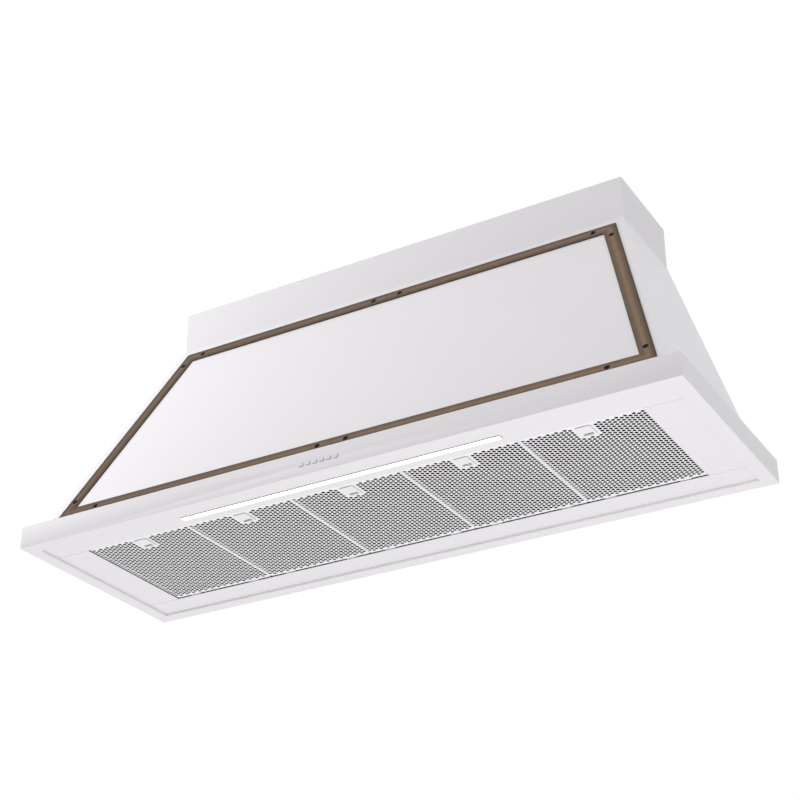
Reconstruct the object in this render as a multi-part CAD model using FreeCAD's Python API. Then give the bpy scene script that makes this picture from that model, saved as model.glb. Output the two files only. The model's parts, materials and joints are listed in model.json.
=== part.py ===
import FreeCAD, Part
import math
import os

# Under cabinet range hood, millimetres. X runs left to right, -Y faces the cook, Z is up.
# The origin is the middle of the four cabinet screws, on the top plate's upper face.

Vec = FreeCAD.Vector
X_AXIS = Vec(1, 0, 0)
Y_AXIS = Vec(0, 1, 0)
Z_AXIS = Vec(0, 0, 1)

# Canopy
hood_width = 1500.0
hood_depth = 500.0
rim_height = 49.5
slope_height = 511.0
top_width = 1116.0
top_depth = 229.0
top_height = 99.5
origin_to_wall = 113.0
side_step = 30.0            # from the rim's outer face in to the sloped body
front_step = 33.0
sheet = 1.5                 # enamelled steel
lip_width = 30.0            # the rim's flat underside
pan_rise = 5.0              # from the lip up to the underside panels
flange_overlap = 12.0       # how far the rim's top flange runs in under the body
mitre_reach = 80.0          # deeper than any rim flange

# Bronze trim on the front slope
trim_margin = 20.0
trim_width = 30.0
trim_thick = 3.0
trim_joint = 0.4            # the butt joint at the middle of the top and bottom runs
screw_head_r = 5.0
screw_head_h = 1.3
screw_sink_r = 5.3
screw_sink_depth = 1.7
screw_shank_r = 2.2
screw_hole_r = 2.6
screw_length = 9.0
screw_nut_r = 4.5
screw_nut_h = 3.0
middle_screw_x = 33.0
bottom_screw_inset = 81.0   # from the trim's centre-line corner
top_screw_inset = 37.0
side_screw_low = 34.0       # along the slope from the trim's centre-line corner
side_screw_high = 29.0

# Underside panels and filters
pan_inset = 14.0            # the panels' outer edge, in from the rim's outer face
seam = 0.8
opening_front = 88.0        # from the hood's front face
opening_depth = 321.0
filter_count = 5
filter_pitch = 256.0
filter_gap = 0.8
filter_depth = 319.4
filter_height = 11.0
filter_rise = 2.5           # the filters' faces lie this far above the panels
filter_sheet = 1.0
filter_flange = 9.0
filter_core_height = 4.6
core_sheet = 0.6
core_fold = 6.0             # half the pitch of the pleats
filter_hinge_gap = 1.0      # from the filter's rear edge to the rear panel
tab_width = 24.0
tab_reach = 6.0
tab_offset = 80.0
tab_clear = 0.3             # between the tab and the panel below it

# Filter latch
latch_width = 32.0
latch_length = 42.0
latch_proud = 1.3
latch_setback = 12.2        # from the filter's front edge
latch_gap = 0.2
latch_slot_width = 20.0
latch_slot_length = 7.0
latch_slot_setback = 28.5
latch_travel = 8.0
latch_stem_width = 10.0
latch_stem_length = 6.0
latch_stem_setback = 17.6
latch_tongue_width = 14.0
latch_tongue_thick = 1.6
latch_tongue_length = 26.0
latch_tongue_rise = 2.2     # above the filter's face sheet
latch_clear = 0.4

# Light bar
light_length = 735.0
light_width = 15.0
light_front = 51.0          # from the hood's front face
light_proud = 1.75
light_wall = 0.9
light_height = 11.0
light_slot_gap = 0.3
lens_thick = 2.0
lens_set = 0.2              # the lens lies this far inside the housing's mouth
board_width = 11.0
board_thick = 1.2
chip_count = 36
chip_size = 2.8
chip_height = 0.8
driver_size = (150.0, 38.0, 24.0)
driver_middle = (-520.0, 60.0)   # x, and distance from the hood's front face
driver_round = 6.0

# Push buttons
button_count = 6
button_pitch = 15.9
button_height = 22.5        # above the rim's underside
button_width = 10.4
button_tall = 7.2
button_corner = 1.8
button_gap = 0.3            # clearance round the cap in the fascia
button_proud = 1.5
button_depth = 4.0
button_flange_out = 1.4     # the flange behind the fascia stands out this far round the cap
button_flange_start = 1.9
button_flange_h = 1.3
button_stem_r = 2.0
button_bore_r = 2.05
button_stem_end = 14.0
switch_front = 8.0
switch_depth = 18.0
switch_width = 112.0
switch_height = 22.0
switch_bore_depth = 9.0

# Blower
blower_y = -20.0
blower_z = -270.0
impeller_r = 80.0
impeller_ring_r = 66.0
impeller_half = 66.0
impeller_sheet = 1.2
blade_count = 36
blade_angle = 35.0
blade_thick = 1.0
hub_r = 14.0
hub_half = 12.0
shaft_r = 4.0
shaft_fit = 0.05
shaft_from = -130.0
shaft_to = 16.0
scroll_start_r = 90.0
scroll_end_r = 124.0
scroll_half = 74.0
scroll_sheet = 1.2
inlet_r = 62.0
scroll_top = -50.0
scroll_neck = -150.0
scroll_tongue = 120.0       # the angle where the spiral starts, from the rear and upwards
scroll_turn = 240.0
scroll_points = 17
neck_front_y = -62.0
neck_rear_y = 101.0
motor_r = 42.0
motor_from = -134.0
motor_to = -34.0
motor_round = 5.0
motor_arm = 8.0
motor_arm_root = 38.0       # sunk into the can
motor_arm_tip = 76.0        # past the inlet's edge
motor_arm_angles = (90, 210, 330)
bracket_width = 40.0
bracket_sheet = 2.0
bracket_drop = 190.0
bracket_foot = 26.0

# Duct collar and damper
collar_y = 15.0
collar_r = 75.0
collar_height = 35.0
collar_sheet = 1.2
collar_flange_r = 95.0
collar_flange = 1.2
sleeve_r = 73.0
sleeve_depth = 48.4
plate_hole_r = 74.0
damper_z = -32.0
damper_r = 71.0
damper_sheet = 1.0
damper_pin_r = 2.0
damper_pin_fit = 0.05
knuckle_r = 3.6
knuckle_count = 6
knuckle_length = 18.0
knuckle_gap = 0.4
damper_gap = 0.8            # half the gap between the two flaps
damper_rest_gap = 0.3
damper_stop_r = 68.8
damper_stop_h = 1.5

# Electrics and fixing
terminal_size = (110.0, 66.0, 46.0)
terminal_wall = 2.0
terminal_x = 430.0
terminal_y = 60.0
gland_bore_r = 5.0
gland_body_r = 10.0
gland_hole_r = 10.3
gland_nut_r = 14.0
gland_nut_h = 6.0
gland_dome_r = 12.0
gland_dome_h = 14.0
gland_round = 4.0
gland_below = 14.0
cabinet_hole_r = 3.5
cabinet_hole_x = 450.0
cabinet_hole_y = 80.0
wall_hole_r = 4.0
wall_hole_x = 480.0
wall_hole_z = -40.0

# Levels and faces that follow from the sizes above
crease_z = -top_height
rim_top_z = crease_z - slope_height
rim_z = rim_top_z - rim_height
wall_y = origin_to_wall
front_y = wall_y - hood_depth
body_front_y = front_y + front_step
top_front_y = wall_y - top_depth
rim_x = hood_width / 2
body_x = rim_x - side_step
top_x = top_width / 2
pan_z = rim_z + pan_rise
opening_front_y = front_y + opening_front
opening_rear_y = opening_front_y + opening_depth
opening_x = filter_count * filter_pitch / 2
filter_z = pan_z + filter_rise
filter_rear_y = opening_rear_y - filter_hinge_gap
filter_front_y = filter_rear_y - filter_depth

# The front slope's own axes: x, a distance s up the slope, and a height n off its face
slope_length = math.hypot(slope_height, top_front_y - body_front_y)
slope_up = Vec(0, (top_front_y - body_front_y) / slope_length, slope_height / slope_length)
slope_out = Vec(0, -slope_up.z, slope_up.y)
side_run = (body_x - top_x) / slope_length


def box(x, y, z):
    """A block between the low and high values given for each axis."""
    size = (x[1] - x[0], y[1] - y[0], z[1] - z[0])
    return Part.makeBox(*size, Vec(x[0], y[0], z[0]))


def rod(r, start, length, axis=Z_AXIS):
    return Part.makeCylinder(r, length, start, axis)


def tube(outer, inner, start, length, axis=Z_AXIS):
    return rod(outer, start, length, axis).cut(rod(inner, start, length, axis))


def prism(points, along):
    face = Part.Face(Part.makePolygon(points + points[:1]))
    return face.extrude(along)


def hexagon(r, start, length):
    corners = [start + Vec(r * math.cos(a), r * math.sin(a), 0)
               for a in (math.pi / 3 * i for i in range(6))]
    return prism(corners, Vec(0, 0, length))


def fuse(shapes):
    return shapes[0].multiFuse(shapes[1:]).removeSplitter()


def on_slope(x, s, n=0.0):
    return Vec(x, body_front_y, rim_top_z) + slope_up * s + slope_out * n


def slope_edge(s, inset):
    """Half the front panel's width at s, less an inset measured square to its side edge."""
    return body_x - side_run * s - inset * math.hypot(1, side_run)


def filter_middles():
    return [(i - (filter_count - 1) / 2) * filter_pitch for i in range(filter_count)]


def button_middles():
    return [(i - (button_count - 1) / 2) * button_pitch for i in range(button_count)]


# ---- rim

def rim_section(depth_of_flange):
    """The rim's folded sheet as (distance in from the outer face, height) corners."""
    top = rim_height
    inner = lip_width
    return [(0, 0), (inner, 0), (inner, pan_rise), (inner - sheet, pan_rise),
            (inner - sheet, sheet), (sheet, sheet), (sheet, top - sheet),
            (depth_of_flange, top - sheet), (depth_of_flange, top), (0, top)]


def mitred(shape, corner_a, corner_b, inward, turn_in):
    """Keeps what lies between the two 45 degree mitres that start at the corners."""
    reach = mitre_reach
    points = [corner_a, corner_b, corner_b + inward * reach - turn_in * reach,
              corner_a + inward * reach + turn_in * reach]
    return shape.common(prism(points, Vec(0, 0, rim_height)))


def front_fascia():
    points = [Vec(-rim_x, front_y + a, rim_z + b)
              for a, b in rim_section(front_step + flange_overlap)]
    shape = prism(points, Vec(hood_width, 0, 0))
    shape = mitred(shape, Vec(-rim_x, front_y, rim_z), Vec(rim_x, front_y, rim_z), Y_AXIS, X_AXIS)
    for x in button_middles():
        shape = shape.cut(key_block(x, button_gap, front_y - sheet, 3 * sheet))
    return shape


def side_rim(side):
    points = [Vec(side * (rim_x - a), front_y, rim_z + b)
              for a, b in rim_section(side_step + flange_overlap)]
    shape = prism(points, Vec(0, hood_depth, 0))
    front = Vec(side * rim_x, front_y, rim_z)
    rear = Vec(side * rim_x, wall_y, rim_z)
    return mitred(shape, front, rear, X_AXIS * -side, Y_AXIS)


def rear_rim():
    points = [Vec(-rim_x, wall_y - a, rim_z + b)
              for a, b in rim_section(side_step + flange_overlap)]
    shape = prism(points, Vec(hood_width, 0, 0))
    return mitred(shape, Vec(-rim_x, wall_y, rim_z), Vec(rim_x, wall_y, rim_z), Y_AXIS * -1, X_AXIS)


# ---- sloped body and top box

def canopy_block():
    """The sloped body's outer form, as one closed solid."""
    low = [Vec(-body_x, body_front_y, rim_top_z), Vec(body_x, body_front_y, rim_top_z),
           Vec(body_x, wall_y, rim_top_z), Vec(-body_x, wall_y, rim_top_z)]
    high = [Vec(-top_x, top_front_y, crease_z), Vec(top_x, top_front_y, crease_z),
            Vec(top_x, wall_y, crease_z), Vec(-top_x, wall_y, crease_z)]
    faces = [Part.Face(Part.makePolygon(ring + ring[:1])) for ring in (low, high)]
    for i in range(4):
        j = (i + 1) % 4
        faces.append(Part.Face(Part.makePolygon([low[i], low[j], high[j], high[i], low[i]])))
    return Part.makeSolid(Part.makeShell(faces))


def front_panel():
    points = [on_slope(-body_x, 0), on_slope(body_x, 0),
              on_slope(top_x, slope_length), on_slope(-top_x, slope_length)]
    shape = prism(points, slope_out * -sheet).common(canopy_block())
    for x, s in screw_places():
        start = on_slope(x, s, trim_thick)
        shape = shape.cut(rod(screw_hole_r, start, 4 * trim_thick, slope_out * -1))
    return shape


def side_panel(side):
    points = [Vec(side * body_x, body_front_y, rim_top_z), Vec(side * body_x, wall_y, rim_top_z),
              Vec(side * top_x, wall_y, crease_z), Vec(side * top_x, top_front_y, crease_z)]
    run = Vec(side * (top_x - body_x), 0, slope_height)
    inward = Vec(-side * run.z, 0, side * run.x).normalize()
    shape = prism(points, inward * sheet).common(canopy_block())
    front = prism([on_slope(-body_x, 0), on_slope(body_x, 0), on_slope(top_x, slope_length),
                   on_slope(-top_x, slope_length)], slope_out * -sheet)
    return shape.cut(front).cut(rear_panel())


def rear_panel():
    points = [Vec(-body_x, wall_y, rim_top_z), Vec(body_x, wall_y, rim_top_z),
              Vec(top_x, wall_y, crease_z), Vec(top_x, wall_y, -sheet),
              Vec(-top_x, wall_y, -sheet), Vec(-top_x, wall_y, crease_z)]
    shape = prism(points, Vec(0, -sheet, 0))
    for x in (-wall_hole_x, wall_hole_x):
        shape = shape.cut(rod(wall_hole_r, Vec(x, wall_y - 2 * sheet, wall_hole_z), 3 * sheet, Y_AXIS))
    return shape


def top_front_casing():
    return box((-top_x, top_x), (top_front_y, top_front_y + sheet), (crease_z, -sheet))


def top_side_casing(side):
    x = sorted((side * top_x, side * (top_x - sheet)))
    return box(x, (top_front_y + sheet, wall_y - sheet), (crease_z, -sheet))


def top_plate():
    shape = box((-top_x, top_x), (top_front_y, wall_y), (-sheet, 0))
    holes = [(cabinet_hole_r, x, y) for x in (-cabinet_hole_x, cabinet_hole_x)
             for y in (-cabinet_hole_y, cabinet_hole_y)]
    holes += [(plate_hole_r, 0, collar_y), (gland_hole_r, terminal_x, terminal_y)]
    for r, x, y in holes:
        shape = shape.cut(rod(r, Vec(x, y, -2 * sheet), 3 * sheet))
    return shape


# ---- bronze trim

def trim_middle_s(top):
    middle = trim_margin + trim_width / 2
    return slope_length - middle if top else middle


def screw_places():
    """(x, s) of the trim's screws: two in each of the six strips."""
    middle = trim_margin + trim_width / 2
    low, high = trim_middle_s(False), trim_middle_s(True)
    places = []
    for side in (-1, 1):
        places.append((side * middle_screw_x, low))
        places.append((side * (slope_edge(low, middle) - bottom_screw_inset), low))
        places.append((side * middle_screw_x, high))
        places.append((side * (slope_edge(high, middle) - top_screw_inset), high))
        for s in (low + side_screw_low, high - side_screw_high):
            places.append((side * slope_edge(s, middle), s))
    return places


def trim_strip(points):
    """One strip of the trim from its (x, s) corners, with its screws' seats cut in."""
    shape = prism([on_slope(x, s) for x, s in points], slope_out * trim_thick)
    for x, s in screw_places():
        top = on_slope(x, s, trim_thick)
        shape = shape.cut(rod(screw_hole_r, top, trim_thick, slope_out * -1))
        shape = shape.cut(rod(screw_sink_r, top, screw_sink_depth, slope_out * -1))
    return shape


def trim_level(side, top):
    """A top or bottom strip, from the middle joint out to its mitre."""
    outer, inner = trim_margin, trim_margin + trim_width
    s_outer = slope_length - outer if top else outer
    s_inner = slope_length - inner if top else inner
    joint = trim_joint / 2
    return trim_strip([(side * joint, s_outer), (side * slope_edge(s_outer, outer), s_outer),
                       (side * slope_edge(s_inner, inner), s_inner), (side * joint, s_inner)])


def trim_side(side):
    outer, inner = trim_margin, trim_margin + trim_width
    places = [(outer, outer), (slope_length - outer, outer),
              (slope_length - inner, inner), (inner, inner)]
    return trim_strip([(side * slope_edge(s, inset), s) for s, inset in places])


def trim_screws():
    screws = []
    for x, s in screw_places():
        head = on_slope(x, s, trim_thick - screw_sink_depth)
        nut = on_slope(x, s, -sheet)
        pieces = [rod(screw_head_r, head, screw_head_h, slope_out),
                  rod(screw_shank_r, head, screw_length, slope_out * -1),
                  rod(screw_nut_r, nut, screw_nut_h, slope_out * -1)]
        screws.append(fuse(pieces))
    return Part.makeCompound(screws)


# ---- underside

def pan(x, y):
    return box(x, y, (pan_z, pan_z + sheet))


def light_panel():
    shape = pan((pan_inset - rim_x, rim_x - pan_inset), (front_y + pan_inset, opening_front_y))
    half = light_length / 2 + light_slot_gap
    y = (front_y + light_front - light_slot_gap, front_y + light_front + light_width + light_slot_gap)
    return shape.cut(pan((-half, half), y))


def side_infill(side):
    x = sorted((side * opening_x, side * (rim_x - pan_inset)))
    return pan(x, (opening_front_y + seam, opening_rear_y - seam))


def rear_infill():
    return pan((pan_inset - rim_x, rim_x - pan_inset), (opening_rear_y, wall_y - pan_inset))


def light_span(inset):
    """The light bar's x and y ranges, drawn in by an inset on all sides."""
    half = light_length / 2 - inset
    start = front_y + light_front
    return (-half, half), (start + inset, start + light_width - inset)


def light_housing():
    low, high = pan_z - light_proud, pan_z - light_proud + light_height
    outer = box(*light_span(0), (low, high))
    return outer.cut(box(*light_span(light_wall), (low, high - light_wall)))


def light_lens():
    low = pan_z - light_proud + lens_set
    return box(*light_span(light_wall), (low, low + lens_thick))


def light_board():
    high = pan_z - light_proud + light_height - light_wall
    middle = front_y + light_front + light_width / 2
    y = (middle - board_width / 2, middle + board_width / 2)
    half = light_length / 2 - 3 * light_wall
    shapes = [box((-half, half), y, (high - board_thick, high))]
    pitch = 2 * half / chip_count
    for i in range(chip_count):
        x = -half + pitch * (i + 0.5)
        shapes.append(box((x - chip_size / 2, x + chip_size / 2),
                          (middle - chip_size / 2, middle + chip_size / 2),
                          (high - board_thick - chip_height, high - board_thick)))
    return fuse(shapes)


def light_driver():
    x, y = driver_middle[0], front_y + driver_middle[1]
    wide, deep, tall = driver_size
    low = pan_z + sheet
    shape = box((x - wide / 2, x + wide / 2), (y - deep / 2, y + deep / 2), (low, low + tall))
    upright = [e for e in shape.Edges if abs(e.tangentAt(e.FirstParameter).z) > 0.9]
    return shape.makeFillet(driver_round, upright)


# ---- filters

def filter_frame(x):
    half = (filter_pitch - filter_gap) / 2
    top = filter_z + filter_height
    y = (filter_front_y, filter_rear_y)
    t = filter_sheet
    shape = box((x - half, x + half), y, (filter_z, top))
    inner_y = (y[0] + t, y[1] - t)
    shape = shape.cut(box((x - half + t, x + half - t), inner_y, (filter_z + t, top - t)))
    f = filter_flange
    shape = shape.cut(box((x - half + f, x + half - f), (y[0] + f, y[1] - f), (top - t, top)))
    tab_low = pan_z + sheet + tab_clear - filter_z
    for side in (-1, 1):
        middle = x + side * tab_offset
        tab = box((middle - tab_width / 2, middle + tab_width / 2),
                  (y[1] - t, y[1] + tab_reach), (filter_z + tab_low + t, filter_z + tab_low + 2 * t))
        shape = shape.fuse(tab)
    # the slot that the latch's stem slides in, and the window for its tongue
    stem_half = latch_stem_width / 2 + latch_clear
    stem_y = y[0] + latch_stem_setback
    slot = box((x - stem_half, x + stem_half),
               (stem_y - latch_clear, stem_y + latch_stem_length + latch_travel + latch_clear),
               (filter_z - t, filter_z + 2 * t))
    tongue_half = latch_tongue_width / 2 + latch_clear
    tongue_z = filter_z + t + latch_tongue_rise
    window = box((x - tongue_half, x + tongue_half), (y[0] - t, y[0] + 2 * t),
                 (tongue_z - latch_clear, tongue_z + latch_tongue_thick + latch_clear))
    return shape.cut(slot).cut(window).removeSplitter()


def filter_core(x):
    """The pleated aluminium mesh that the frame holds, its weave left plain."""
    room = (filter_pitch - filter_gap) / 2 - 2 * filter_sheet
    folds = int(2 * room / core_fold)
    top = filter_z + filter_height - filter_sheet
    low = top - filter_core_height + core_sheet
    y = filter_front_y + 2 * filter_sheet
    crests = [Vec(x + (i - folds / 2) * core_fold, y, top if i % 2 else low)
              for i in range(folds + 1)]
    under = [p - Z_AXIS * core_sheet for p in reversed(crests)]
    return prism(crests + under, Y_AXIS * (filter_depth - 4 * filter_sheet))


def filter_latch(x):
    """Finger plate under the filter, stem through its sheet, and tongue behind its front wall."""
    start = filter_front_y + latch_setback
    plate_top = filter_z - latch_gap
    half = latch_width / 2
    plate = box((x - half, x + half), (start, start + latch_length),
                (plate_top - latch_proud, plate_top))
    slot_y = start + latch_slot_setback
    slot_half = latch_slot_width / 2
    plate = plate.cut(box((x - slot_half, x + slot_half), (slot_y, slot_y + latch_slot_length),
                          (plate_top - latch_proud, plate_top)))
    tongue_z = filter_z + filter_sheet + latch_tongue_rise
    stem_y = filter_front_y + latch_stem_setback
    stem_half = latch_stem_width / 2
    stem = box((x - stem_half, x + stem_half), (stem_y, stem_y + latch_stem_length),
               (plate_top, tongue_z))
    tongue_half = latch_tongue_width / 2
    tongue = box((x - tongue_half, x + tongue_half),
                 (filter_front_y, filter_front_y + latch_tongue_length),
                 (tongue_z, tongue_z + latch_tongue_thick))
    return fuse([plate, stem, tongue])


# ---- push buttons

def key_block(x, grow, start, depth):
    """The rounded oblong of a button's cap, grown all round and run back from start."""
    z = rim_z + button_height
    half_x, half_z = button_width / 2 + grow, button_tall / 2 + grow
    block = box((x - half_x, x + half_x), (start, start + depth), (z - half_z, z + half_z))
    corners = [e for e in block.Edges if abs(e.tangentAt(e.FirstParameter).y) > 0.99]
    return block.makeFillet(button_corner + grow, corners)


def button(x):
    cap = key_block(x, 0.0, front_y - button_proud, button_proud + button_depth)
    flange = key_block(x, button_flange_out, front_y + button_flange_start, button_flange_h)
    stem = rod(button_stem_r, Vec(x, front_y, rim_z + button_height), button_stem_end, Y_AXIS)
    return fuse([cap, flange, stem])


def switch_bank():
    z = rim_z + button_height
    start = front_y + switch_front
    shape = box((-switch_width / 2, switch_width / 2), (start, start + switch_depth),
                (z - switch_height / 2, z + switch_height / 2))
    for x in button_middles():
        shape = shape.cut(rod(button_bore_r, Vec(x, start, z), switch_bore_depth, Y_AXIS))
    return shape


# ---- blower

def scroll_face(offset):
    """The scroll's outline in the plane x = 0, moved inward by an offset, as a face."""
    spiral = []
    for i in range(scroll_points):
        part = i / (scroll_points - 1)
        r = scroll_start_r + (scroll_end_r - scroll_start_r) * part - offset
        angle = math.radians(scroll_tongue + scroll_turn * part)
        spiral.append(Vec(0, blower_y + r * math.cos(angle), blower_z + r * math.sin(angle)))
    curve = Part.BSplineCurve()
    curve.interpolate(spiral)
    corners = [spiral[-1], Vec(0, neck_rear_y - offset, scroll_neck),
               Vec(0, neck_rear_y - offset, scroll_top), Vec(0, neck_front_y + offset, scroll_top),
               Vec(0, neck_front_y + offset, scroll_neck + offset), spiral[0]]
    edges = [curve.toShape()]
    edges += [Part.makeLine(a, b) for a, b in zip(corners, corners[1:])]
    return Part.Face(Part.Wire(Part.__sortEdges__(edges)))


def blower_scroll():
    middle = Vec(-scroll_half, 0, 0)
    shape = scroll_face(0).extrude(X_AXIS * (2 * scroll_half))
    shape.translate(middle)
    inner = scroll_face(scroll_sheet).extrude(X_AXIS * (2 * (scroll_half - scroll_sheet)))
    inner.translate(middle + X_AXIS * scroll_sheet)
    shape = shape.cut(inner)
    half = scroll_half - scroll_sheet
    mouth = box((-half, half), (neck_front_y + scroll_sheet, neck_rear_y - scroll_sheet),
                (scroll_top - 2 * scroll_sheet, scroll_top + scroll_sheet))
    inlets = rod(inlet_r, Vec(-2 * scroll_half, blower_y, blower_z), 4 * scroll_half, X_AXIS)
    return shape.cut(mouth).cut(inlets)


def blade(angle):
    """One flat, forward-leaning blade of the impeller."""
    lean = math.radians(blade_angle)
    along = (impeller_r - impeller_ring_r) / math.cos(lean)
    shape = box((-impeller_half, impeller_half), (0, along), (0, blade_thick))
    shape.rotate(Vec(0, 0, 0), X_AXIS, blade_angle)
    shape.translate(Vec(0, impeller_ring_r - blade_thick, 0))
    shape.rotate(Vec(0, 0, 0), X_AXIS, angle)
    shape.translate(Vec(0, blower_y, blower_z))
    return shape


def impeller():
    middle = Vec(0, blower_y, blower_z)
    t = impeller_sheet
    disc = rod(impeller_r, middle - X_AXIS * t, 2 * t, X_AXIS)
    hub = rod(hub_r, middle - X_AXIS * hub_half, 2 * hub_half, X_AXIS)
    shapes = [disc, hub]
    for x in (-impeller_half, impeller_half - t):
        shapes.append(tube(impeller_r, impeller_ring_r - 2 * t, middle + X_AXIS * x, t, X_AXIS))
    shapes += [blade(360.0 * i / blade_count) for i in range(blade_count)]
    shape = shapes[0].multiFuse(shapes[1:])
    envelope = rod(impeller_r, middle - X_AXIS * impeller_half, 2 * impeller_half, X_AXIS)
    bore = rod(shaft_r, middle - X_AXIS * hub_half, 2 * hub_half, X_AXIS)
    return shape.common(envelope).cut(bore).removeSplitter()


def motor_shaft():
    return rod(shaft_r, Vec(shaft_from, blower_y, blower_z), shaft_to - shaft_from, X_AXIS)


def blower_motor():
    """Motor can in the left inlet, with three arms out to the scroll's side."""
    length = motor_to - motor_from
    start = Vec(motor_from, blower_y, blower_z)
    can = rod(motor_r, start, length, X_AXIS)
    rims = [e for e in can.Edges if e.Closed]
    can = can.makeFillet(motor_round, rims)
    side = -scroll_half
    shapes = [can]
    for angle in motor_arm_angles:
        arm = box((side - motor_arm, side), (motor_arm_root, motor_arm_tip), (-motor_arm, motor_arm))
        arm.rotate(Vec(0, 0, 0), X_AXIS, angle)
        arm.translate(Vec(0, blower_y, blower_z))
        shapes.append(arm)
    bore = rod(shaft_r + shaft_fit, start, length, X_AXIS)
    return fuse(shapes).cut(bore)


def blower_brackets():
    """Two folded straps that hang the scroll from the top plate."""
    straps = []
    y = (-bracket_width / 2, bracket_width / 2)
    t = bracket_sheet
    for side in (-1, 1):
        drop_x = sorted((side * scroll_half, side * (scroll_half + t)))
        foot_x = sorted((side * scroll_half, side * (scroll_half + bracket_foot)))
        drop = box(drop_x, y, (-bracket_drop, -sheet))
        foot = box(foot_x, y, (-sheet - t, -sheet))
        straps.append(fuse([drop, foot]))
    return Part.makeCompound(straps)


# ---- duct collar and damper

def duct_collar():
    start = Vec(0, collar_y, 0)
    low = Vec(0, collar_y, -sleeve_depth)
    t = collar_sheet
    flange = tube(collar_flange_r, sleeve_r - t, start, collar_flange)
    spigot = tube(collar_r, collar_r - t, start + Z_AXIS * collar_flange, collar_height)
    sleeve = tube(sleeve_r, sleeve_r - t, low, sleeve_depth)
    stop_z = damper_z - knuckle_r - damper_rest_gap - damper_stop_h
    stop = tube(sleeve_r, damper_stop_r, Vec(0, collar_y, stop_z), damper_stop_h)
    shape = fuse([flange, spigot, sleeve, stop])
    pin = Vec(-collar_flange_r, collar_y, damper_z)
    return shape.cut(rod(damper_pin_r, pin, 2 * collar_flange_r, X_AXIS))


def damper_pin():
    half = sleeve_r - collar_sheet / 4
    return rod(damper_pin_r, Vec(-half, collar_y, damper_z), 2 * half, X_AXIS)


def knuckle_span(i, extra=0.0):
    start = (i - knuckle_count / 2) * knuckle_length
    return start + knuckle_gap / 2 - extra, start + knuckle_length - knuckle_gap / 2 + extra


def damper_flap(side):
    """Half a disc with its share of the hinge's knuckles. Side -1 is the front flap."""
    low = damper_z - knuckle_r
    reach = 2 * damper_r
    disc = rod(damper_r, Vec(0, collar_y, low), damper_sheet)
    y = sorted((collar_y + side * damper_gap, collar_y + side * reach))
    shape = disc.common(box((-reach, reach), y, (low, low + damper_sheet)))
    own = [i for i in range(knuckle_count) if (i % 2 == 0) == (side < 0)]
    pieces = [shape]
    for i in range(knuckle_count):
        x = knuckle_span(i)
        start = Vec(x[0], collar_y, damper_z)
        if i in own:
            pieces.append(rod(knuckle_r, start, x[1] - x[0], X_AXIS))
        else:
            room = knuckle_span(i, knuckle_gap)
            notch_y = sorted((collar_y, collar_y + side * (knuckle_r + knuckle_gap)))
            pieces[0] = pieces[0].cut(box(room, notch_y, (low, low + damper_sheet)))
    bore = rod(damper_pin_r + damper_pin_fit, Vec(-reach, collar_y, damper_z), 2 * reach, X_AXIS)
    return fuse(pieces).cut(bore)


# ---- electrics

def terminal_box():
    wide, deep, tall = terminal_size
    x = (terminal_x - wide / 2, terminal_x + wide / 2)
    y = (terminal_y - deep / 2 - terminal_wall, terminal_y + deep / 2 - terminal_wall)
    shape = box(x, y, (-sheet - tall, -sheet))
    t = terminal_wall
    hollow = box((x[0] + t, x[1] - t), (y[0] + t, y[1] - t), (-sheet - tall + t, -sheet))
    return shape.cut(hollow)


def cable_gland():
    middle = Vec(terminal_x, terminal_y, 0)
    body = rod(gland_body_r, middle - Z_AXIS * gland_below, gland_below)
    nut = hexagon(gland_nut_r, middle, gland_nut_h)
    dome = rod(gland_dome_r, middle + Z_AXIS * gland_nut_h, gland_dome_h)
    rims = [e for e in dome.Edges if e.Closed and e.CenterOfMass.z > gland_nut_h + gland_round]
    dome = dome.makeFillet(gland_round, rims)
    lock_nut = hexagon(gland_nut_r, middle - Z_AXIS * (sheet + gland_nut_h), gland_nut_h)
    length = gland_below + gland_nut_h + gland_dome_h
    bore = rod(gland_bore_r, middle - Z_AXIS * gland_below, length)
    return fuse([body, nut, dome, lock_nut]).cut(bore)


def build():
    shapes = {
        "front_fascia": front_fascia(), "rear_rim": rear_rim(),
        "left_rim": side_rim(-1), "right_rim": side_rim(1),
        "front_panel": front_panel(), "rear_panel": rear_panel(),
        "left_side_panel": side_panel(-1), "right_side_panel": side_panel(1),
        "top_front_casing": top_front_casing(), "top_plate": top_plate(),
        "top_left_casing": top_side_casing(-1), "top_right_casing": top_side_casing(1),
        "trim_screws": trim_screws(), "light_panel": light_panel(), "rear_infill": rear_infill(),
        "left_infill": side_infill(-1), "right_infill": side_infill(1),
        "light_housing": light_housing(), "light_lens": light_lens(),
        "light_board": light_board(), "light_driver": light_driver(),
        "switch_bank": switch_bank(), "blower_scroll": blower_scroll(),
        "impeller": impeller(), "motor_shaft": motor_shaft(), "blower_motor": blower_motor(),
        "blower_brackets": blower_brackets(), "duct_collar": duct_collar(),
        "damper_pin": damper_pin(), "damper_front": damper_flap(-1), "damper_rear": damper_flap(1),
        "terminal_box": terminal_box(), "cable_gland": cable_gland(),
    }
    for side, word in ((-1, "left"), (1, "right")):
        shapes["trim_" + word] = trim_side(side)
        shapes["trim_top_" + word] = trim_level(side, True)
        shapes["trim_bottom_" + word] = trim_level(side, False)
    for i, x in enumerate(filter_middles(), 1):
        shapes[f"filter_{i}_frame"] = filter_frame(x)
        shapes[f"filter_{i}_core"] = filter_core(x)
        shapes[f"filter_{i}_latch"] = filter_latch(x)
    for i, x in enumerate(button_middles(), 1):
        shapes[f"button_{i}"] = button(x)
    return shapes


os.makedirs("parts", exist_ok=True)
for name, shape in build().items():
    shape.exportStep(f"parts/{name}.step")
    print(name, shape.isValid(), len(shape.Solids), round(shape.Volume))
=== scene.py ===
import json
import math

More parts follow.
